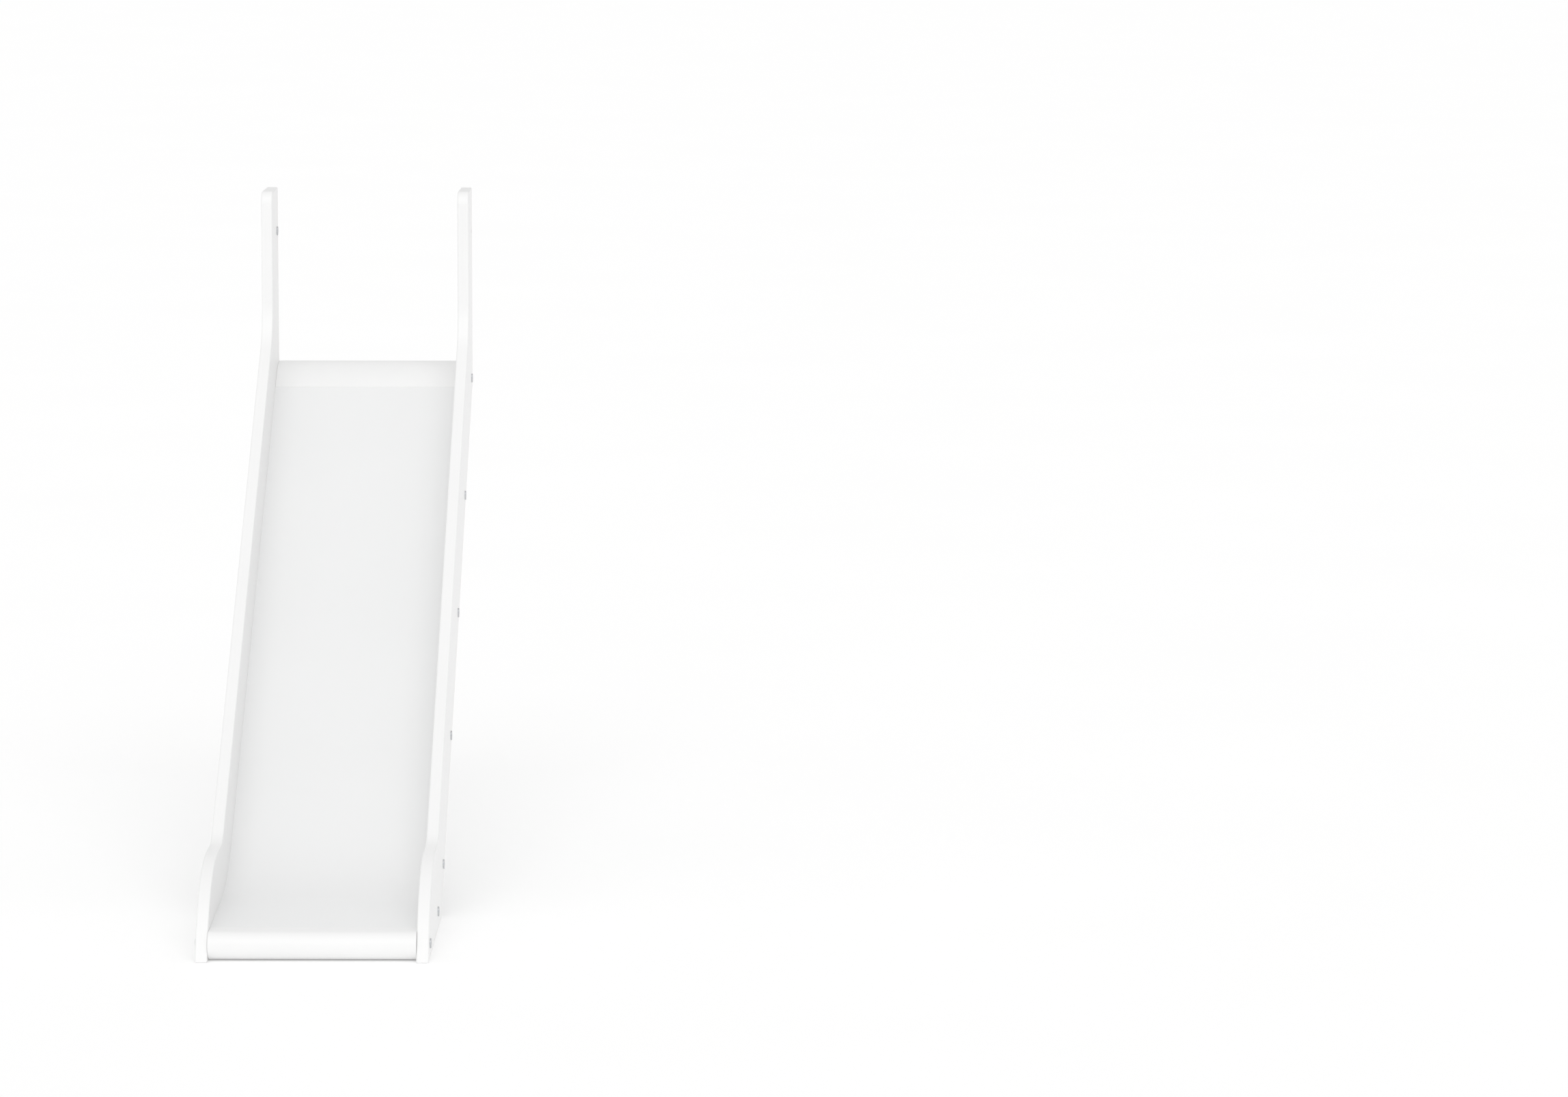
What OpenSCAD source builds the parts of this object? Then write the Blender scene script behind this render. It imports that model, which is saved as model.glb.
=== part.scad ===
// Straight slide for a mid-high bed.
// Two board-cut side panels carry a bent sliding sheet in grooves. Seven cross
// members, each held by a bolt, a barrel nut and two dowels at either end, tie
// the panels together and carry the sheet.
//
// +Z is up and +Y points up the slide, to the bed rail. +X, and right in a
// node's name, are to the right as seen from the foot. The origin is on the
// floor, under the middle of the slide's box.

/* [Overall] */
// Height of the bed rail that the slide stands at
rail_h = 861; // [700:1:1100]
// Angle of the slope to the floor, in degrees
slope = 35.1; // [30:0.1:40]
// Clear width of the sliding channel
channel_w = 351; // [300:1:450]

/* [Side panels] */
// Thickness of the board
panel_t = 21; // [18:0.5:28]
// Width of the board across the slope
panel_w = 170; // [160:1:210]
// Length of the foot that is flat on the floor
foot_l = 385; // [360:5:480]
// Distance of the panels' back corners below the bed rail
corner_down = 42.2; // [38:0.1:50]
// Height of the nose over the foot
nose_h = 150; // [125:1:160]
// Reach of the nose's round, from its crown to the tip
nose_l = 215; // [180:1:240]
// Radius between the slope and the nose
nose_fillet = 80; // [40:1:120]
// Height of the handle tops over the bed rail
handle_up = 334; // [280:1:400]
// Front to back width of the handle
handle_w = 134; // [110:1:160]
// Radius between the handle and the slope
throat_r = 100; // [60:1:130]
// Radius of the handle's top front corner
handle_r = 24; // [10:1:40]

/* [Sliding sheet] */
// Thickness of the sheet
sheet_t = 6; // [4:0.5:8]
// Height of the sheet's top over the panels' back edges, across the slope
sheet_up = 55.5; // [52:0.5:70]
// Radius of the bend into the run-out
bend_r = 380; // [300:5:420]
// Fall of the run-out, in degrees
runout_tilt = 2.2; // [1:0.1:3]
// Depth of the groove that the sheet's edges sit in
groove_d = 8; // [5:0.5:10]
// Reach from the back edges to the joint of top beam and sheet
joint_r = 95; // [85:1:110]
// Lap of the sheet on the top beam and on the end bar
lap = 15; // [8:1:20]

/* [Cross members] */
// Thickness of the top beam across the slope
beam_t = 45; // [40:1:48]
// Distance of the top beam's bolts up the slope from the joint
beam_bolt_up = 48; // [44:1:56]
// Depth of the top beam's bolts below the slope
beam_bolt_down = 18.5; // [17:0.5:22]
// Thickness of a batten
batten_t = 36; // [30:1:38]
// Width of a batten along the slope
batten_w = 58; // [52:1:70]
// Distance from the joint to the first batten
first_batten = 281; // [240:1:300]
// Distance from one batten to the next
batten_pitch = 321; // [300:1:324]
// Distance of the foot batten from the foot's tips
foot_batten_back = 279; // [260:1:300]
// Height of the end bar
bar_h = 47; // [42:1:50]
// Gap between the end bar and the floor
bar_lift = 2; // [1:0.5:5]
// Distance of the end bar's front behind the foot's tips
bar_inset = 6; // [4:1:15]
// Length of the end bar's top, from its round to the sheet
bar_top = 33; // [24:1:40]
// Distance of the end bar's bolts behind its front
bar_bolt_in = 40; // [36:1:44]

/* [Fasteners] */
// Diameter of the connector bolts
bolt_d = 6; // [5:0.5:8]
// Length of a bolt past its barrel nut
bolt_past = 4; // [0:0.5:6]
// Diameter of the flat heads
head_d = 17; // [15:0.5:20]
// Thickness of the flat heads
head_t = 2.5; // [2:0.25:3.5]
// Width of the hexagon sockets across their flats
socket_af = 4; // [3:0.5:5]
// Depth of the hexagon sockets
socket_d = 3; // [2:0.25:3.5]
// Diameter of a barrel nut
nut_d = 10; // [9:0.5:12]
// Length of a barrel nut
nut_l = 14; // [12:0.5:16]
// Distance of a barrel nut's middle from the member's end
nut_in = 30; // [26:1:34]
// Diameter of a dowel
dowel_d = 8; // [6:0.5:10]
// Length of a dowel in the member
dowel_in_member = 23; // [18:1:30]
// Length of a dowel in the panel
dowel_in_panel = 12; // [8:1:13]
// Distance of the dowels from the bolt
dowel_off = 20; // [18:0.5:21]

/* [Fixings to the bed] */
// Distance of the handle sleeves from the back edges
sleeve_back = 30; // [20:1:40]
// Distance of the handle sleeves below the handle tops
sleeve_down = 82; // [60:1:110]
// Diameter of a sleeve's barrel
sleeve_d = 9; // [8:0.5:10]
// Diameter of the thread bores that take M6 screws
thread_d = 5; // [4:0.1:6]
// Depth of a sleeve's thread
sleeve_thread = 15; // [12:0.5:16]
// Spacing of the inserts in the top beam's back
insert_pitch = 220; // [180:1:240]
// Diameter of an insert
insert_d = 10; // [9:0.5:12]
// Length of an insert
insert_l = 13; // [10:0.5:18]
// Depth of an insert's axis below the bed rail
insert_down = 15; // [13:0.5:18]

/* [Fits] */
// Clearance around a piece in its groove, rebate or bore
fit = 0.15; // [0.1:0.05:0.25]
// Clearance around a bolt in its hole
bolt_fit = 0.4; // [0.2:0.05:0.5]
// Room past the end of a bolt
bolt_room = 4; // [1:0.5:6]
// Room past the end of a dowel
dowel_room = 0.5; // [0.25:0.25:1]

/* [Hidden] */
$fn = 48;
run = tan(slope);
outer_w = channel_w + 2 * panel_t;

// Overshoot of a cut past the face that it opens
over = 1;

bolt_l = panel_t + nut_in + nut_d / 2 + bolt_past;

// Heights of the three slope lines where they meet the back edges, and the
// reach and height that follow
back_z = rail_h - corner_down;
slide_l = back_z / run + foot_l;
slide_h = rail_h + handle_up;
sheet_z = back_z + sheet_up / cos(slope);
edge_z = back_z + panel_w / cos(slope);

// End bar, seen from the side
bar_front = slide_l - bar_inset;
bar_r = bar_h / 2;
bar_shoulder = bar_front - bar_r - bar_top;
bar_back = bar_shoulder - lap;
bar_top_z = bar_lift + bar_h;

// Path of the sheet's top surface: a slope, a bend and a run-out. Distances
// along it start at the joint with the top beam.
turn = slope - runout_tilt;
bend_tan = bend_r * tan(turn / 2);
knee_r = (sheet_z - bar_top_z - tan(runout_tilt) * bar_shoulder) / (run - tan(runout_tilt));
knee_z = sheet_z - run * knee_r;
bend_start = (knee_r - joint_r) / cos(slope) - bend_tan;
bend_l = bend_r * turn * PI / 180;
bend_end = bend_start + bend_l;
sheet_end = bend_end + (bar_shoulder - knee_r) / cos(runout_tilt) - bend_tan;
bend_c = [knee_r, knee_z] + bend_tan * [-cos(slope), sin(slope)]
    + bend_r * [sin(slope), cos(slope)];

// Tilt of the path at a distance along it
function tilt(s) = s < bend_start ? slope
    : s > bend_end ? runout_tilt
    : slope - (s - bend_start) / bend_r * 180 / PI;

// Point at a distance along the path and a height over it, as [reach, height]
function on_path(s, up = 0) = up * [sin(tilt(s)), cos(tilt(s))]
    + (s < bend_start ? [joint_r, sheet_z - run * joint_r] + s * [cos(slope), -sin(slope)]
    : s > bend_end ? [bar_shoulder, bar_top_z]
        - (sheet_end - s) * [cos(runout_tilt), -sin(runout_tilt)]
    : bend_c - bend_r * [sin(tilt(s)), cos(tilt(s))]);

// Points along an arc
function arc(centre, r, from, to, steps = 16) =
    [for (i = [0:steps]) let (a = from + (to - from) * i / steps) centre + r * [cos(a), sin(a)]];

// Outline of the strip between two heights over the path
function strip(from, to, low, high, steps = 20) =
    let (stops = [from, for (i = [0:steps]) bend_start + bend_l * i / steps, to])
    concat([for (s = stops) on_path(s, high)],
        [for (i = [len(stops) - 1:-1:0]) on_path(stops[i], low)]);

// Middles and tilts of the seven cross members, from the top down
batten_down = sheet_t + fit + batten_t / 2;
foot_batten_s = sheet_end - (foot_batten_back - (slide_l - bar_shoulder)) / cos(runout_tilt);
batten_s = [for (i = [0:3]) first_batten + i * batten_pitch, foot_batten_s];
bar_bolt = [bar_front - bar_bolt_in, bar_lift + bar_r];
middles = [on_path(-beam_bolt_up, -beam_bolt_down),
    for (s = batten_s) on_path(s, -batten_down), bar_bolt];
tilts = [slope, for (s = batten_s) tilt(s), 0];

// Depth of each member's lower face below its bolts
undersides = [beam_t - beam_bolt_down, for (s = batten_s) batten_t / 2, bar_bolt[1] - bar_lift];

sleeve_at = [sleeve_back, slide_h - sleeve_down];
insert_at = rail_h - insert_down;
member_l = channel_w - 2 * fit;

// Side space: X is the reach from the back edges, Y the height and Z points
// across the slide, with 0 in the middle
module side_space() {
    translate([0, slide_l / 2, 0]) rotate([90, 0, -90]) children();
}

// The same at a cross member's bolt axis, with X down the member's tilt
module at_member(i) {
    side_space() translate(middles[i]) rotate(-tilts[i]) children();
}

// Outline of a side panel
module panel_outline() {
    nose_r = (nose_l * nose_l + nose_h * nose_h) / (2 * nose_h);
    nose_c = [slide_l - nose_l, nose_h - nose_r];
    nose_knee = (edge_z - nose_h) / run;
    fillet_c = [nose_knee + nose_fillet * tan(slope / 2), nose_h + nose_fillet];
    throat_c = [handle_w + throat_r,
        edge_z - run * handle_w + throat_r * tan((90 - slope) / 2)];
    polygon(concat([[0, back_z], [slide_l - foot_l, 0]],
        arc(nose_c, nose_r, asin(-nose_c[1] / nose_r), 90, 24),
        arc(fillet_c, nose_fillet, 270, 270 - slope),
        arc(throat_c, throat_r, 270 - slope, 180),
        arc([handle_w - handle_r, slide_h - handle_r], handle_r, 0, 90, 8),
        [[0, slide_h]]));
}

// One panel in side space, its inner face at half the channel's width
module panel() {
    difference() {
        translate([0, 0, channel_w / 2]) linear_extrude(panel_t) panel_outline();
        translate([0, 0, channel_w / 2 - over]) linear_extrude(groove_d + over)
            polygon(strip(0, sheet_end, -sheet_t - fit, fit));
        for (i = [0:6]) translate(middles[i]) rotate(-tilts[i]) {
            cylinder(h = outer_w, d = bolt_d + 2 * bolt_fit);
            for (x = [-dowel_off, dowel_off]) translate([x, 0, 0])
                cylinder(h = channel_w / 2 + dowel_in_panel + dowel_room, d = dowel_d + 2 * fit);
        }
        translate(sleeve_at) cylinder(h = outer_w, d = sleeve_d + 2 * fit);
    }
}

module left_side_panel() {
    color("white") side_space() panel();
}

module right_side_panel() {
    color("white") side_space() mirror([0, 0, 1]) panel();
}

// The sheet reaches into both grooves and over the rebates at its two ends
module slide_sheet() {
    color("whitesmoke") side_space()
        linear_extrude(channel_w + 2 * groove_d - 4 * fit, center = true)
            polygon(strip(fit, sheet_end - fit, -sheet_t, 0));
}

// Bores in the two ends of a cross member, at the bolt axis
module member_bores(i) {
    for (side = [-1, 1]) {
        translate([0, 0, side * channel_w / 2]) {
            cylinder(h = 2 * (bolt_l - panel_t + bolt_room), d = bolt_d + 2 * bolt_fit,
                center = true);
            for (x = [-dowel_off, dowel_off]) translate([x, 0, 0])
                cylinder(h = 2 * (dowel_in_member + dowel_room), d = dowel_d + 2 * fit,
                    center = true);
        }
        translate([0, -undersides[i] - over, side * (channel_w / 2 - nut_in)]) rotate([-90, 0, 0])
            cylinder(h = undersides[i] + over + nut_l / 2 + fit, d = nut_d + 2 * fit);
    }
}

// The top beam's crown runs from level at the bed rail down to the sheet
module top_beam() {
    drop = rail_h - on_path(0)[1];
    crown_r = (joint_r * joint_r + drop * drop) / (2 * drop);
    crown_c = [0, rail_h - crown_r];
    color("white") difference() {
        side_space() linear_extrude(member_l, center = true)
            polygon(concat([[0, sheet_z - beam_t / cos(slope)]],
                arc(crown_c, crown_r, 90, acos(joint_r / crown_r)),
                [on_path(0, -sheet_t - fit), on_path(lap, -sheet_t - fit),
                    on_path(lap, -beam_t)]));
        at_member(0) member_bores(0);
        for (side = [-1, 1])
            translate([side * insert_pitch / 2, slide_l / 2 + over, insert_at]) rotate([90, 0, 0])
                cylinder(h = insert_l + fit + over, d = insert_d + 2 * fit);
    }
}

module batten(i) {
    color("white") at_member(i) difference() {
        linear_extrude(member_l, center = true) square([batten_w, batten_t], center = true);
        member_bores(i);
    }
}

module batten_1() { batten(1); }
module batten_2() { batten(2); }
module batten_3() { batten(3); }
module batten_4() { batten(4); }
module foot_batten() { batten(5); }

// The end bar has a round front and a rebate for the sheet's end
module end_bar() {
    color("white") difference() {
        side_space() linear_extrude(member_l, center = true) difference() {
            union() {
                translate([bar_back, bar_lift]) square([bar_front - bar_r - bar_back, bar_h]);
                translate([bar_front - bar_r, bar_lift + bar_r]) circle(r = bar_r, $fn = 96);
            }
            translate([bar_back - over, bar_top_z - sheet_t - fit])
                square([lap + over, sheet_t + fit + over]);
        }
        at_member(6) member_bores(6);
    }
}

// Hexagon for a socket, across its flats
module socket(depth) {
    cylinder(h = depth, d = socket_af / cos(30), $fn = 6);
}

// Flat-headed bolt, its head's seat at 0 and its shank along -Z
module bolt() {
    chamfer = 0.4;
    difference() {
        union() {
            rotate_extrude() polygon([[0, 0], [head_d / 2, 0], [head_d / 2, head_t - chamfer],
                [head_d / 2 - chamfer, head_t], [0, head_t]]);
            translate([0, 0, -bolt_l]) cylinder(h = bolt_l + head_t / 2, d = bolt_d);
        }
        translate([0, 0, head_t - socket_d]) socket(socket_d + over);
    }
}

module bolts(i) {
    color("silver") at_member(i) for (side = [0, 1]) mirror([0, 0, side])
        translate([0, 0, outer_w / 2]) bolt();
}

module top_beam_bolts() { bolts(0); }
module batten_1_bolts() { bolts(1); }
module batten_2_bolts() { bolts(2); }
module batten_3_bolts() { bolts(3); }
module batten_4_bolts() { bolts(4); }
module foot_batten_bolts() { bolts(5); }
module end_bar_bolts() { bolts(6); }

// Barrel nuts lie across the bolts, with the bolt through the middle
module barrel_nuts(i) {
    color("silver") at_member(i) for (side = [-1, 1])
        translate([0, 0, side * (channel_w / 2 - nut_in)]) difference() {
            rotate([90, 0, 0]) cylinder(h = nut_l, d = nut_d, center = true);
            cylinder(h = nut_d + 2 * over, d = bolt_d + 2 * fit, center = true);
        }
}

module top_beam_barrel_nuts() { barrel_nuts(0); }
module batten_1_barrel_nuts() { barrel_nuts(1); }
module batten_2_barrel_nuts() { barrel_nuts(2); }
module batten_3_barrel_nuts() { barrel_nuts(3); }
module batten_4_barrel_nuts() { barrel_nuts(4); }
module foot_batten_barrel_nuts() { barrel_nuts(5); }
module end_bar_barrel_nuts() { barrel_nuts(6); }

module dowels(i) {
    color("burlywood") at_member(i) for (side = [0, 1], x = [-dowel_off, dowel_off])
        mirror([0, 0, side]) translate([x, 0, channel_w / 2 - dowel_in_member])
            cylinder(h = dowel_in_member + dowel_in_panel, d = dowel_d);
}

module top_beam_dowels() { dowels(0); }
module batten_1_dowels() { dowels(1); }
module batten_2_dowels() { dowels(2); }
module batten_3_dowels() { dowels(3); }
module batten_4_dowels() { dowels(4); }
module foot_batten_dowels() { dowels(5); }
module end_bar_dowels() { dowels(6); }

// A sleeve's head lies on the handle's inner face. Its thread opens at the
// outer face, towards the bed post.
module handle_sleeve() {
    difference() {
        union() {
            translate([0, 0, -head_t]) cylinder(h = head_t, d = head_d);
            cylinder(h = panel_t, d = sleeve_d);
        }
        translate([0, 0, panel_t - sleeve_thread]) cylinder(h = sleeve_thread + over, d = thread_d);
        translate([0, 0, -head_t - over]) socket(socket_d + over);
    }
}

module left_handle_sleeve() {
    color("silver") side_space() translate([sleeve_at[0], sleeve_at[1], channel_w / 2])
        handle_sleeve();
}

module right_handle_sleeve() {
    color("silver") side_space() mirror([0, 0, 1])
        translate([sleeve_at[0], sleeve_at[1], channel_w / 2]) handle_sleeve();
}

// Threaded inserts in the top beam's back face, for screws through the bed rail
module rail_inserts() {
    color("silver") for (side = [-1, 1])
        translate([side * insert_pitch / 2, slide_l / 2, insert_at]) rotate([90, 0, 0])
            difference() {
                cylinder(h = insert_l, d = insert_d);
                translate([0, 0, -over]) cylinder(h = insert_l + 2 * over, d = thread_d);
            }
}

left_side_panel();
right_side_panel();
slide_sheet();
top_beam();
batten_1();
batten_2();
batten_3();
batten_4();
foot_batten();
end_bar();
top_beam_bolts();
batten_1_bolts();
batten_2_bolts();
batten_3_bolts();
batten_4_bolts();
foot_batten_bolts();
end_bar_bolts();
top_beam_barrel_nuts();
batten_1_barrel_nuts();
batten_2_barrel_nuts();
batten_3_barrel_nuts();
batten_4_barrel_nuts();
foot_batten_barrel_nuts();
end_bar_barrel_nuts();
top_beam_dowels();
batten_1_dowels();
batten_2_dowels();
batten_3_dowels();
batten_4_dowels();
foot_batten_dowels();
end_bar_dowels();
left_handle_sleeve();
right_handle_sleeve();
rail_inserts();
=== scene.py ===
# A straight slide for a mid-high bed. Two painted boards carry a bent sheet in
# grooves, seven cross members tie them together, and bolts with barrel nuts and
# dowels hold the members. Everything is in metres, in the frame's own place.
import math

import bmesh
import bpy
from mathutils import Matrix, Vector


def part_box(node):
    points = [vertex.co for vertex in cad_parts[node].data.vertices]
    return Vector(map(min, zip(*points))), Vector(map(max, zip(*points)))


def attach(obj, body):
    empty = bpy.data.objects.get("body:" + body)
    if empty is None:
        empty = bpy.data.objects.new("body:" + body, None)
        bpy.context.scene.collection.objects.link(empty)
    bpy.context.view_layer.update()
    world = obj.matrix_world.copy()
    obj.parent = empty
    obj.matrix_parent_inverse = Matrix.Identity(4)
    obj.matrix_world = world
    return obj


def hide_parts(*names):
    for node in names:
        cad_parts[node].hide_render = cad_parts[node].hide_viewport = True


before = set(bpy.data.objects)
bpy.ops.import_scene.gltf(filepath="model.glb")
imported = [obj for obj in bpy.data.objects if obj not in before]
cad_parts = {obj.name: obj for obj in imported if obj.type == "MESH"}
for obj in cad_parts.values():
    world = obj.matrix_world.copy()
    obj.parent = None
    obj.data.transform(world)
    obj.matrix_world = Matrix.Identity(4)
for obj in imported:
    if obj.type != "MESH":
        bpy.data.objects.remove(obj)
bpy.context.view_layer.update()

# ---------------------------------------------------------------------------
# The studio: a pale floor that runs out of sight, a white surround that is a
# little dimmer behind, one wide soft light high in front, and a camera with a long
# lens before the foot.

floor_half = 90
floor_glow = 0.135
surround = 0.86
surround_behind = 0.66


def new_material(name):
    """An empty node material and its shader, output wired up."""
    made = bpy.data.materials.new(name)
    made.use_nodes = True
    return made, made.node_tree.nodes["Principled BSDF"]


def node(material, kind, **settings):
    """A node of that kind. Settings that name an input set it, others set the node."""
    made = material.node_tree.nodes.new(kind)
    for key, value in settings.items():
        label = key.replace("_", " ")
        if label in made.inputs:
            made.inputs[label].default_value = value
        else:
            setattr(made, key, value)
    return made


def wire(material, *ends):
    """Links outputs to inputs, given in pairs."""
    for start, end in zip(ends[::2], ends[1::2]):
        material.node_tree.links.new(start, end)


def ramp(material, dark, light, dark_at=0.0, light_at=1.0):
    """A ramp from a darker to a lighter tone."""
    made = node(material, "ShaderNodeValToRGB")
    low, high = made.color_ramp.elements
    low.position = dark_at
    low.color = (*dark, 1)
    high.position = light_at
    high.color = (*light, 1)
    return made


def mesh_of(name, shape, *finish):
    """The mesh of a shape, which is used up, with its finish."""
    made = bpy.data.meshes.new(name)
    shape.to_mesh(made)
    shape.free()
    for material in finish:
        made.materials.append(material)
    return made


def studio_floor():
    """Matt white floor paint, a little uneven, that glows enough to lose its edges."""
    paint, shader = new_material("studio_floor")
    place = node(paint, "ShaderNodeTexCoord")
    cloud = node(paint, "ShaderNodeTexNoise", Scale=1.3, Detail=4.0)
    tones = ramp(paint, (0.900, 0.900, 0.898), (0.920, 0.920, 0.920))
    shader.inputs["Roughness"].default_value = 0.9
    shader.inputs["Emission Color"].default_value = (1, 1, 1, 1)
    shader.inputs["Emission Strength"].default_value = floor_glow
    wire(paint, place.outputs["Object"], cloud.inputs["Vector"],
         cloud.outputs["Fac"], tones.inputs["Fac"],
         tones.outputs["Color"], shader.inputs["Base Color"])
    return paint


floor_shape = bmesh.new()
bmesh.ops.create_grid(floor_shape, x_segments=8, y_segments=8, size=floor_half)
floor = bpy.data.objects.new("floor", mesh_of("floor", floor_shape, studio_floor()))
bpy.context.scene.collection.objects.link(floor)

world = bpy.data.worlds.new("surround")
world.use_nodes = True
world.node_tree.nodes["Background"].inputs["Color"].default_value = (1, 1, 1, 1)
toward = node(world, "ShaderNodeTexCoord")
behind = node(world, "ShaderNodeSeparateXYZ")
fade = node(world, "ShaderNodeMapRange", From_Min=0.0, From_Max=1.0,
            To_Min=surround, To_Max=surround_behind)
wire(world, toward.outputs["Generated"], behind.inputs["Vector"],
     behind.outputs["Y"], fade.inputs["Value"],
     fade.outputs["Result"], world.node_tree.nodes["Background"].inputs["Strength"])
bpy.context.scene.world = world
bpy.context.scene.view_settings.view_transform = "Standard"

key = bpy.data.lights.new("front_light", "SUN")
key.energy = 0.60
key.angle = math.radians(55)
key_holder = bpy.data.objects.new("front_light", key)
key_holder.rotation_euler = (math.radians(45), 0, math.radians(6))
bpy.context.scene.collection.objects.link(key_holder)

lens = bpy.data.cameras.new("camera")
lens.lens = 132.26
lens.sensor_width = 36
camera = bpy.data.objects.new("camera", lens)
camera.location = (0.761, -10.271, 1.970)
camera.rotation_euler = (math.radians(90 - 7.594), math.radians(-0.12), math.radians(-0.17))
bpy.context.scene.collection.objects.link(camera)
bpy.context.scene.camera = camera

# ---------------------------------------------------------------------------
# The side panels: two boards of 21 mm fibreboard cut to the same outline, with
# a tall handle at the bed and a round nose at the foot. Their rims are rounded
# over with a 3 mm cutter, and they are sprayed in satin white lacquer.

panel_edge = 0.003
flat_angle = math.radians(0.5)
crease_angle = math.radians(30)


def whole(name):
    """The mesh of a CAD piece, its flat faces in one again."""
    shape = bmesh.new()
    shape.from_mesh(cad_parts[name].data)
    bmesh.ops.remove_doubles(shape, verts=shape.verts, dist=1e-6)
    bmesh.ops.dissolve_limit(shape, angle_limit=flat_angle, verts=shape.verts, edges=shape.edges)
    return shape


def rims(shape):
    """The edges round the outside of the two end faces, left and right, and no hole's."""
    found = []
    ends = [max(v.co.x for v in shape.verts), min(v.co.x for v in shape.verts)]
    for end in ends:
        left = {e for e in shape.edges
                if all(abs(v.co.x - end) < 1e-6 for v in e.verts)
                and e.calc_face_angle(0) > crease_angle}
        loops = []
        while left:
            loop, open_ends = [], [left.pop()]
            while open_ends:
                edge = open_ends.pop()
                loop.append(edge)
                near = {e for v in edge.verts for e in v.link_edges} & left
                left -= near
                open_ends.extend(near)
            loops.append(loop)
        found.extend(max(loops, key=lambda loop: sum(e.calc_length() for e in loop)))
    return found


def corners(shape, rim):
    """The convex edges that run across from one rim to the other."""
    on_rim = {v for e in rim for v in e.verts}
    return [e for e in shape.edges
            if e not in rim and all(v in on_rim for v in e.verts)
            and e.calc_face_angle(0) > crease_angle and e.is_convex]


def round_over(shape, edges, radius, steps=5):
    """Rounds edges as a router does."""
    bmesh.ops.bevel(shape, geom=edges, offset=radius, offset_type="OFFSET", segments=steps,
                    profile=0.5, affect="EDGES", clamp_overlap=False)


def piece(name, shape, finish, slot, *nodes):
    """A finished piece from its mesh: it rides on the frame and stands for CAD nodes."""
    return place_piece(name, mesh_of(name, shape, finish), Matrix.Identity(4), slot, *nodes)


def place_piece(name, mesh, at, slot, *nodes):
    """Puts a mesh in its place, smooth but for its creases."""
    mesh.shade_smooth()
    mesh.set_sharp_from_angle(angle=crease_angle)
    made = bpy.data.objects.new(name, mesh)
    made.matrix_world = at
    bpy.context.scene.collection.objects.link(made)
    made.modifiers.new("even_shading", "WEIGHTED_NORMAL").keep_sharp = True
    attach(made, "root")
    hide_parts(*nodes)
    return made


def white_lacquer(name, grain=0.0):
    """Sprayed satin lacquer: a faint orange peel, slow drifts of tone and sheen, a
    rougher skin on cut edges and, on solid wood, grain that shows through along X."""
    paint, shader = new_material(name)
    place = node(paint, "ShaderNodeTexCoord")
    drift = node(paint, "ShaderNodeTexNoise", Scale=5.0, Detail=3.0)
    tones = ramp(paint, (0.890, 0.890, 0.887), (0.906, 0.906, 0.904), 0.3, 0.7)
    peel = node(paint, "ShaderNodeTexNoise", Scale=420.0, Detail=2.0)
    fibre = node(paint, "ShaderNodeTexNoise", Scale=1500.0, Detail=3.0)
    facing = node(paint, "ShaderNodeSeparateXYZ")
    sideways = node(paint, "ShaderNodeMath", operation="ABSOLUTE")
    on_edge = node(paint, "ShaderNodeMath", operation="SUBTRACT")
    on_edge.inputs[0].default_value = 1.0
    edge_fibre = node(paint, "ShaderNodeMath", operation="MULTIPLY")
    relief = node(paint, "ShaderNodeMath", operation="MULTIPLY_ADD")
    relief.inputs[1].default_value = 0.5
    bump = node(paint, "ShaderNodeBump", Strength=1.0, Distance=0.00002)
    sheen = node(paint, "ShaderNodeMapRange", To_Min=0.34, To_Max=0.44)
    wire(paint, place.outputs["Object"], drift.inputs["Vector"],
         place.outputs["Object"], peel.inputs["Vector"],
         place.outputs["Object"], fibre.inputs["Vector"],
         drift.outputs["Fac"], tones.inputs["Fac"],
         tones.outputs["Color"], shader.inputs["Base Color"],
         place.outputs["Normal"], facing.inputs["Vector"],
         facing.outputs["X"], sideways.inputs[0],
         sideways.outputs["Value"], on_edge.inputs[1],
         on_edge.outputs["Value"], edge_fibre.inputs[0],
         fibre.outputs["Fac"], edge_fibre.inputs[1],
         edge_fibre.outputs["Value"], relief.inputs[0],
         peel.outputs["Fac"], relief.inputs[2],
         bump.outputs["Normal"], shader.inputs["Normal"],
         drift.outputs["Fac"], sheen.inputs["Value"],
         sheen.outputs["Result"], shader.inputs["Roughness"])
    if grain:
        stretch = node(paint, "ShaderNodeMapping")
        stretch.inputs["Scale"].default_value = (7, 260, 260)
        lines = node(paint, "ShaderNodeTexNoise", Scale=1.0, Detail=5.0, Distortion=0.4)
        grown = node(paint, "ShaderNodeMath", operation="MULTIPLY_ADD")
        grown.inputs[1].default_value = grain
        wire(paint, place.outputs["Object"], stretch.inputs["Vector"],
             stretch.outputs["Vector"], lines.inputs["Vector"],
             lines.outputs["Fac"], grown.inputs[0],
             relief.outputs["Value"], grown.inputs[2],
             grown.outputs["Value"], bump.inputs["Height"])
    else:
        wire(paint, relief.outputs["Value"], bump.inputs["Height"])
    return paint


board_lacquer = white_lacquer("white_lacquer_on_board")

for name in ("left_side_panel", "right_side_panel"):
    board = whole(name)
    rim = rims(board)
    round_over(board, rim + corners(board, rim), panel_edge)
    piece(name + "_board", board, board_lacquer, "white_lacquer", name)

# ---------------------------------------------------------------------------
# The sliding sheet: 6 mm fibreboard with a hard white laminate, bent at the
# foot. Its edges sit in the panels' grooves and its ends lap on the top beam
# and the end bar.

sheet_arris = 0.0004
slope = math.radians(35.1)


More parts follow.
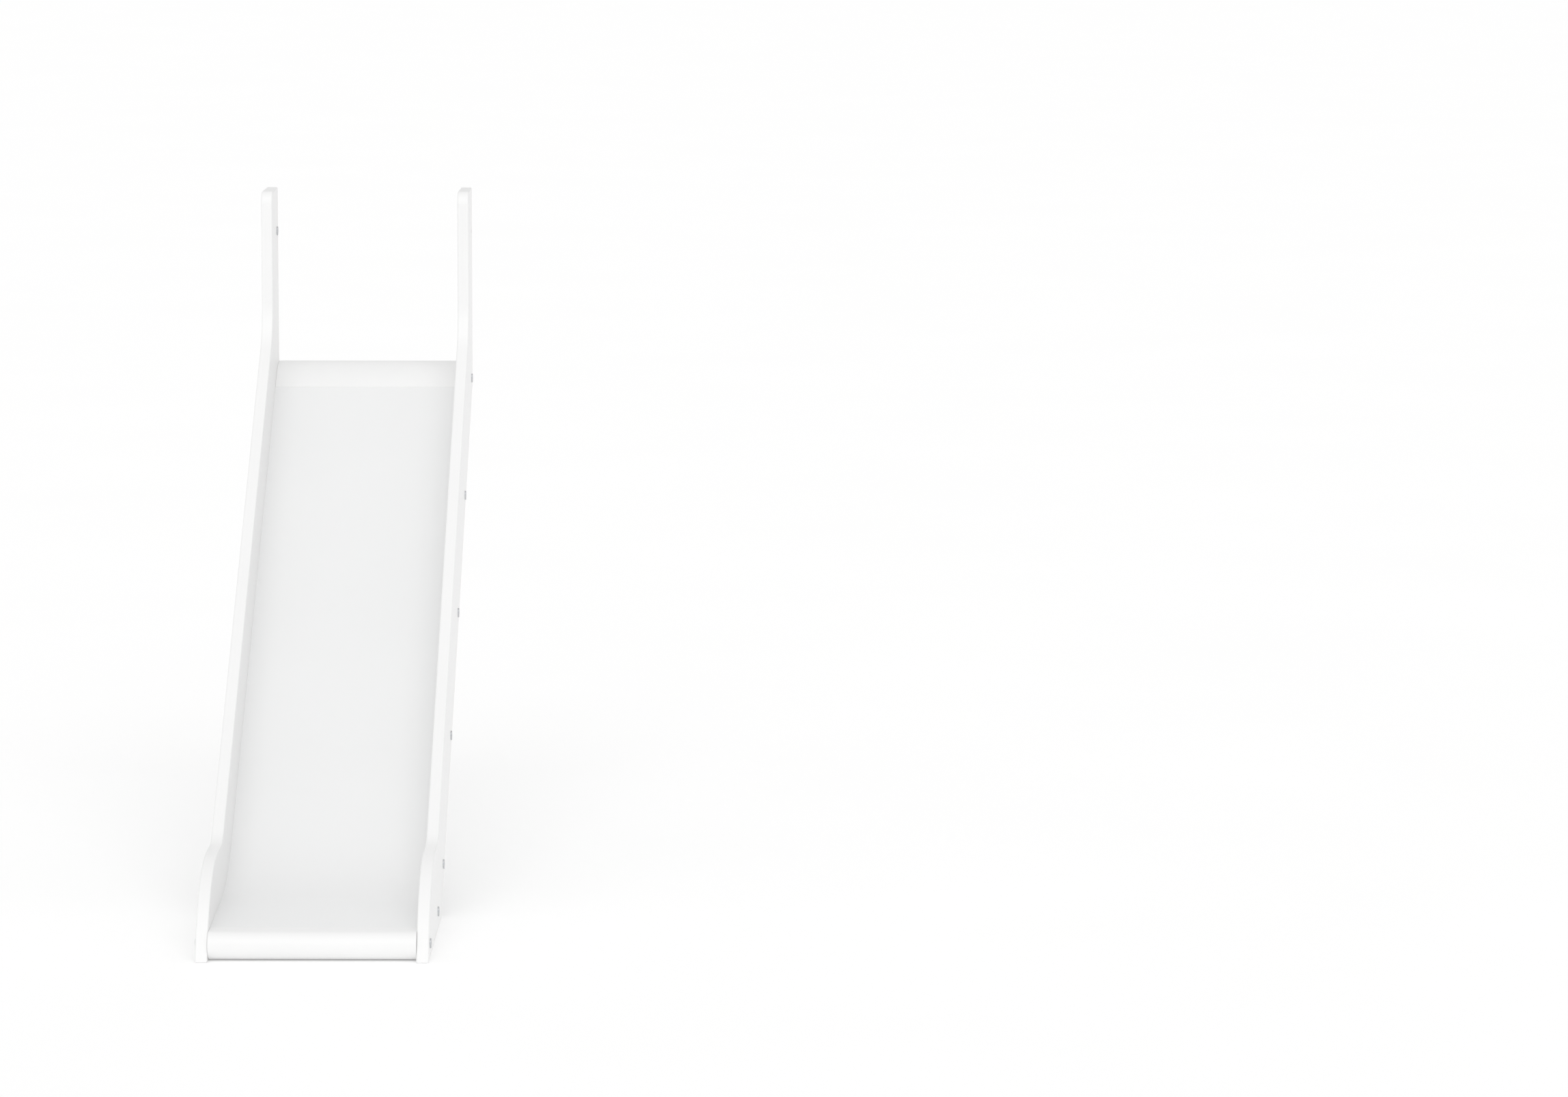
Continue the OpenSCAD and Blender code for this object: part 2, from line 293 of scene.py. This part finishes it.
def sheet_laminate():
    """Smooth laminate: a pearl texture under a millimetre across, and fine scuffs that
    run down the slide and show only in its sheen."""
    skin, shader = new_material("sheet_laminate")
    place = node(skin, "ShaderNodeTexCoord")
    cloud = node(skin, "ShaderNodeTexNoise", Scale=3.0, Detail=2.0)
    tones = ramp(skin, (0.862, 0.865, 0.865), (0.876, 0.879, 0.878), 0.3, 0.7)
    down_slide = node(skin, "ShaderNodeMapping", vector_type="TEXTURE")
    down_slide.inputs["Rotation"].default_value = (slope, 0, 0)
    down_slide.inputs["Scale"].default_value = (0.0014, 0.35, 0.05)
    scuffs = node(skin, "ShaderNodeTexNoise", Scale=1.0, Detail=3.0)
    pearl = node(skin, "ShaderNodeTexVoronoi", Scale=1300.0)
    bump = node(skin, "ShaderNodeBump", Strength=1.0, Distance=0.000005)
    sheen = node(skin, "ShaderNodeMapRange", To_Min=0.24, To_Max=0.40)
    wire(skin, place.outputs["Object"], cloud.inputs["Vector"],
         cloud.outputs["Fac"], tones.inputs["Fac"],
         tones.outputs["Color"], shader.inputs["Base Color"],
         place.outputs["Object"], down_slide.inputs["Vector"],
         down_slide.outputs["Vector"], scuffs.inputs["Vector"],
         scuffs.outputs["Fac"], sheen.inputs["Value"],
         sheen.outputs["Result"], shader.inputs["Roughness"],
         place.outputs["Object"], pearl.inputs["Vector"],
         pearl.outputs["Distance"], bump.inputs["Height"],
         bump.outputs["Normal"], shader.inputs["Normal"])
    return skin


sheet = whole("slide_sheet")
rim = rims(sheet)
round_over(sheet, corners(sheet, rim), sheet_arris, steps=3)
piece("slide_sheet_board", sheet, sheet_laminate(), "sliding_sheet", "slide_sheet")

# ---------------------------------------------------------------------------
# The cross members: solid wood, painted like the panels. The top beam has a
# crowned seat, five battens lie under the sheet, and the end bar has a round
# front. Bores for the bolts, nuts and dowels are drilled before they are painted.

wood_lacquer = white_lacquer("white_lacquer_on_wood", grain=0.8)
battens = ("batten_1", "batten_2", "batten_3", "batten_4", "foot_batten")
members = ("top_beam", *battens, "end_bar")
end_rounding = {"top_beam": 0.0003, "end_bar": 0.0006}
arris = 0.0007
batten_rounding = 0.003
low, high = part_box("batten_1")
member_l = high.x - low.x


def long_corners(shape):
    """The convex edges that run nearly the whole length of a member."""
    return [e for e in shape.edges
            if e.calc_length() > 0.9 * member_l
            and e.calc_face_angle(0) > crease_angle and e.is_convex]


def in_fixed_order(shape):
    """The same faces in one order on every run, since a second rounding shuffles them."""
    shape.verts.index_update()
    outlines = []
    for face in shape.faces:
        outline = [v.index for v in face.verts]
        first = outline.index(min(outline))
        outlines.append(outline[first:] + outline[:first])
    fixed = bmesh.new()
    points = [fixed.verts.new(v.co) for v in shape.verts]
    for outline in sorted(outlines):
        fixed.faces.new([points[i] for i in outline])
    shape.free()
    return fixed


for name in members:
    bar = whole(name)
    rim = rims(bar)
    if name in battens:
        round_over(bar, rim + corners(bar, rim), batten_rounding)
    else:
        round_over(bar, rim, end_rounding[name])
        round_over(bar, long_corners(bar), arris, steps=3)
        bar = in_fixed_order(bar)
    piece(name + "_bar", bar, wood_lacquer, "white_lacquer", name)

# ---------------------------------------------------------------------------
# The connector bolts: zinc-plated M6 steel with a wide flat head, a hexagon
# socket and a rolled thread that ends past the barrel nut. Two hold each member.

bolt_r = 0.003
head_r = 0.0085
head_t = 0.0025
socket_r = 0.002
socket_depth = 0.003
thread_pitch = 0.001
thread_depth = 0.0004
thread_l = 0.026
centre_r = 0.0005


def round_ring(turn):
    return 1.0


def hexagon_ring(turn):
    """A hexagon's reach in that direction, its flats at 1."""
    return 1 / math.cos((turn + math.pi / 6) % (math.pi / 3) - math.pi / 6)


def turned(rings, facets=48, closed=False):
    """Skins a stack of rings round Z. Each is (height, radius) or (height, radius, outline).
    The first and last are closed by small flats, unless the stack closes on itself."""
    shape = bmesh.new()
    loops = []
    for height, radius, *outline in rings:
        reach = outline[0] if outline else round_ring
        turns = [2 * math.pi * i / facets for i in range(facets)]
        loops.append([shape.verts.new((radius * reach(t) * math.cos(t),
                                       radius * reach(t) * math.sin(t), height)) for t in turns])
    pairs = list(zip(loops, loops[1:] + loops[:1]))
    for low, high in pairs if closed else pairs[:-1]:
        for i in range(facets):
            j = (i + 1) % facets
            shape.faces.new((low[i], low[j], high[j], high[i]))
    if not closed:
        shape.faces.new(loops[0])
        shape.faces.new(loops[-1])
    bmesh.ops.recalc_face_normals(shape, faces=shape.faces)
    return shape


def thread(start, length, radius, depth):
    """Rings for a thread's ridges from a height, one ridge for each pitch."""
    ridges = round(length / thread_pitch)
    rings = []
    for i in range(ridges):
        rings.append((start + i * thread_pitch, radius - depth))
        rings.append((start + (i + 0.5) * thread_pitch, radius))
    return rings


def zinc_plate(name):
    """Bright zinc: rings left by the turning, a cloudy blue-grey passivation and a
    sheen that changes a little from place to place."""
    metal, shader = new_material(name)
    shader.inputs["Metallic"].default_value = 1.0
    place = node(metal, "ShaderNodeTexCoord")
    cloud = node(metal, "ShaderNodeTexNoise", Scale=260.0, Detail=4.0)
    tones = ramp(metal, (0.50, 0.52, 0.545), (0.66, 0.665, 0.67), 0.35, 0.65)
    marks = node(metal, "ShaderNodeTexWave", wave_type="RINGS", rings_direction="Z",
                 Scale=900.0, Distortion=0.6, Detail=1.0)
    bump = node(metal, "ShaderNodeBump", Strength=0.3, Distance=0.00002)
    sheen = node(metal, "ShaderNodeMapRange", To_Min=0.24, To_Max=0.42)
    wire(metal, place.outputs["Object"], cloud.inputs["Vector"],
         cloud.outputs["Fac"], tones.inputs["Fac"],
         tones.outputs["Color"], shader.inputs["Base Color"],
         cloud.outputs["Fac"], sheen.inputs["Value"],
         sheen.outputs["Result"], shader.inputs["Roughness"],
         place.outputs["Object"], marks.inputs["Vector"],
         marks.outputs["Fac"], bump.inputs["Height"],
         bump.outputs["Normal"], shader.inputs["Normal"])
    return metal


def socketed_head():
    """Rings from the bottom of a hexagon socket, over a flat head, to its seat at 0."""
    point_depth = 0.0004
    point_r = 0.0001
    chamfer = 0.0004
    lead_in = 0.0003
    return [(head_t - socket_depth - point_depth, point_r),
            (head_t - socket_depth, socket_r, hexagon_ring),
            (head_t - lead_in, socket_r, hexagon_ring),
            (head_t, socket_r + lead_in, hexagon_ring),
            (head_t, head_r - 1.5 * chamfer),
            (head_t - 0.3 * chamfer, head_r - 0.6 * chamfer),
            (head_t - chamfer, head_r - 0.1 * chamfer),
            (head_t - 1.5 * chamfer, head_r),
            (0.3 * chamfer, head_r),
            (0, head_r - 0.3 * chamfer)]


zinc = zinc_plate("zinc_on_steel")
bolt_l = 0.060
tip_taper = 0.001
rings = socketed_head() + [(0, bolt_r), (thread_l - bolt_l, bolt_r)]
rings += reversed(thread(tip_taper - bolt_l, thread_l - 2 * tip_taper, bolt_r, thread_depth))
rings += [(-bolt_l, bolt_r - tip_taper), (-bolt_l, centre_r)]
bolt_mesh = mesh_of("connector_bolt", turned(rings), zinc)
sides = {"left": -1, "right": 1}


def outward(side, at):
    """A place whose Z points out of the slide, to the left or the right."""
    return Matrix.Translation(at) @ Matrix.Rotation(side * math.pi / 2, 4, "Y")


for name in members:
    low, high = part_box(name + "_bolts")
    middle = (low + high) / 2
    for word, side in sides.items():
        seat = Vector((side * (high.x - head_t), middle.y, middle.z))
        place_piece(f"{name}_{word}_bolt", bolt_mesh, outward(side, seat), "zinc_steel",
                    name + "_bolts")

# ---------------------------------------------------------------------------
# The barrel nuts: zinc-plated cylinders across the bolts, each in a bore that
# opens under its member. A slot across the lower end turns it to face the bolt.

nut_r = 0.005
nut_l = 0.014
nut_chamfer = 0.0005
nut_bore_r = 0.00315
slot_w = 0.0014
slot_depth = 0.0016
dowel_r = 0.004


def tool(name, shape):
    """A mesh to cut with, which isn't kept."""
    made = bpy.data.objects.new(name, mesh_of(name, shape))
    bpy.context.scene.collection.objects.link(made)
    return made


def cut(shape, *tools):
    """The mesh that is left when the tools are cut from a shape."""
    work = tool("work", shape)
    for cutter in tools:
        step = work.modifiers.new(cutter.name, "BOOLEAN")
        step.object = cutter
        step.solver = "MANIFOLD"
    ready = work.evaluated_get(bpy.context.evaluated_depsgraph_get())
    left = bpy.data.meshes.new_from_object(ready)
    for used in (work, *tools):
        bpy.data.objects.remove(used)
    return left


half = nut_l / 2
nut_blank = turned([(-half, centre_r), (-half, nut_r - nut_chamfer), (nut_chamfer - half, nut_r),
                    (half - nut_chamfer, nut_r), (half, nut_r - nut_chamfer), (half, centre_r)])
cross_bore = turned([(-2 * nut_r, centre_r), (-2 * nut_r, nut_bore_r),
                     (2 * nut_r, nut_bore_r), (2 * nut_r, centre_r)])
bmesh.ops.rotate(cross_bore, verts=cross_bore.verts, matrix=Matrix.Rotation(math.pi / 2, 3, "Y"))
driver_slot = bmesh.new()
bmesh.ops.create_cube(driver_slot, size=1)
bmesh.ops.scale(driver_slot, verts=driver_slot.verts, vec=(3 * nut_r, slot_w, 2 * slot_depth))
bmesh.ops.translate(driver_slot, verts=driver_slot.verts, vec=(0, 0, -half))
nut_mesh = cut(nut_blank, tool("cross_bore", cross_bore), tool("driver_slot", driver_slot))
nut_mesh.materials.append(zinc)


def tilt(name):
    """The tilt of a member, from the two dowels beside each of its bolts."""
    low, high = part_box(name + "_dowels")
    return math.atan2((high.z - low.z) / 2 - dowel_r, (high.y - low.y) / 2 - dowel_r)


for name in members:
    low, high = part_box(name + "_barrel_nuts")
    middle = (low + high) / 2
    for word, side in sides.items():
        at = Vector((side * (high.x - nut_r), middle.y, middle.z))
        lean = Matrix.Translation(at) @ Matrix.Rotation(tilt(name), 4, "X")
        place_piece(f"{name}_{word}_barrel_nut", nut_mesh, lean, "zinc_steel",
                    name + "_barrel_nuts")

# ---------------------------------------------------------------------------
# The dowels: raw beech, 8 mm thick, with pressed flutes that let the glue and
# the air past and chamfered ends. Two lie beside each bolt.

dowel_l = 0.035
flutes = 20
flute_depth = 0.07
dowel_chamfer = 0.001


def fluted_ring(turn):
    """A dowel's reach in that direction, its ridges at 1."""
    return 1 - flute_depth * (0.5 - 0.5 * math.cos(flutes * turn))


def raw_beech():
    """Raw beech: pinkish tan, long grain and the short dark flecks of its rays."""
    wood, shader = new_material("raw_beech")
    shader.inputs["Roughness"].default_value = 0.62
    place = node(wood, "ShaderNodeTexCoord")
    along = node(wood, "ShaderNodeMapping")
    along.inputs["Scale"].default_value = (420, 420, 14)
    growth = node(wood, "ShaderNodeTexNoise", Scale=1.0, Detail=5.0)
    tones = ramp(wood, (0.47, 0.30, 0.17), (0.63, 0.44, 0.27), 0.32, 0.66)
    short = node(wood, "ShaderNodeMapping")
    short.inputs["Scale"].default_value = (1500, 1500, 320)
    flecks = node(wood, "ShaderNodeTexVoronoi", Scale=1.0)
    fleck_mask = node(wood, "ShaderNodeMapRange", From_Min=0.0, From_Max=0.28,
                      To_Min=0.35, To_Max=0.0)
    darker = node(wood, "ShaderNodeMix", data_type="RGBA")
    darker.inputs["B"].default_value = (0.30, 0.17, 0.09, 1)
    bump = node(wood, "ShaderNodeBump", Strength=0.4, Distance=0.00005)
    wire(wood, place.outputs["Object"], along.inputs["Vector"],
         along.outputs["Vector"], growth.inputs["Vector"],
         growth.outputs["Fac"], tones.inputs["Fac"],
         place.outputs["Object"], short.inputs["Vector"],
         short.outputs["Vector"], flecks.inputs["Vector"],
         flecks.outputs["Distance"], fleck_mask.inputs["Value"],
         fleck_mask.outputs["Result"], darker.inputs["Factor"],
         tones.outputs["Color"], darker.inputs["A"],
         darker.outputs["Result"], shader.inputs["Base Color"],
         growth.outputs["Fac"], bump.inputs["Height"],
         bump.outputs["Normal"], shader.inputs["Normal"])
    return wood


half = dowel_l / 2
dowel_shape = turned([(-half, centre_r), (-half, dowel_r - dowel_chamfer),
                      (dowel_chamfer - half, dowel_r, fluted_ring),
                      (half - dowel_chamfer, dowel_r, fluted_ring),
                      (half, dowel_r - dowel_chamfer), (half, centre_r)], facets=4 * flutes)
dowel_mesh = mesh_of("dowel", dowel_shape, raw_beech())

for name in members:
    low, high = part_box(name + "_dowels")
    middle = (low + high) / 2
    apart = Vector((0, (high.y - low.y) / 2 - dowel_r, (high.z - low.z) / 2 - dowel_r))
    for word, side in sides.items():
        for end, step in (("upper", 1), ("lower", -1)):
            at = Vector((side * (high.x - half), middle.y, middle.z)) + step * apart
            place_piece(f"{name}_{word}_{end}_dowel", dowel_mesh, outward(side, at),
                        "dowel_beech", name + "_dowels")

# ---------------------------------------------------------------------------
# The handle sleeves: zinc-plated sleeve nuts in the two handles. The flat head
# lies on the handle's inner face, and the thread faces the bed post.

sleeve_r = 0.0045
sleeve_thread = 0.015
bore_r = 0.0025
mouth = 0.0005
sleeve_low, sleeve_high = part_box("right_handle_sleeve")
sleeve_l = sleeve_high.x - sleeve_low.x - head_t
rings = socketed_head() + [(0, sleeve_r), (mouth - sleeve_l, sleeve_r),
                           (-sleeve_l, sleeve_r - mouth), (-sleeve_l, bore_r + mouth)]
rings += thread(mouth - sleeve_l, sleeve_thread - 2 * mouth, bore_r + thread_depth, thread_depth)
rings += [(sleeve_thread - sleeve_l, bore_r), (sleeve_thread - sleeve_l, centre_r)]
sleeve_mesh = mesh_of("handle_sleeve", turned(rings), zinc)

for word, side in sides.items():
    low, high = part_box(word + "_handle_sleeve")
    middle = (low + high) / 2
    seat = Vector((side * (sleeve_low.x + head_t), middle.y, middle.z))
    place_piece(word + "_sleeve_nut", sleeve_mesh, outward(-side, seat), "zinc_steel",
                word + "_handle_sleeve")

# ---------------------------------------------------------------------------
# The rail inserts: two threaded steel inserts screwed into the back of the top
# beam, with a coarse wood thread outside and a slot across the mouth.

insert_r = 0.005
insert_thread_depth = 0.0006
insert_slot_w = 0.0012
low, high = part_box("rail_inserts")
insert_l = high.y - low.y
rings = [(0, insert_r - mouth), (-mouth, insert_r)]
rings += reversed(thread(mouth - insert_l, insert_l - 3 * mouth, insert_r, insert_thread_depth))
rings += [(-insert_l, insert_r - 2 * mouth), (-insert_l, bore_r + mouth)]
rings += thread(mouth - insert_l, insert_l - 2 * mouth, bore_r + thread_depth, thread_depth)
rings += [(0, bore_r + mouth)]
insert_slot = bmesh.new()
bmesh.ops.create_cube(insert_slot, size=1)
bmesh.ops.scale(insert_slot, verts=insert_slot.verts, vec=(insert_slot_w, 3 * insert_r, 3 * mouth))
insert_mesh = cut(turned(rings, closed=True), tool("insert_slot", insert_slot))
insert_mesh.materials.append(zinc)

for word, side in sides.items():
    at = Vector((side * (high.x - insert_r), high.y, (low.z + high.z) / 2))
    facing_back = Matrix.Translation(at) @ Matrix.Rotation(-math.pi / 2, 4, "X")
    place_piece(word + "_rail_insert", insert_mesh, facing_back, "zinc_steel", "rail_inserts")
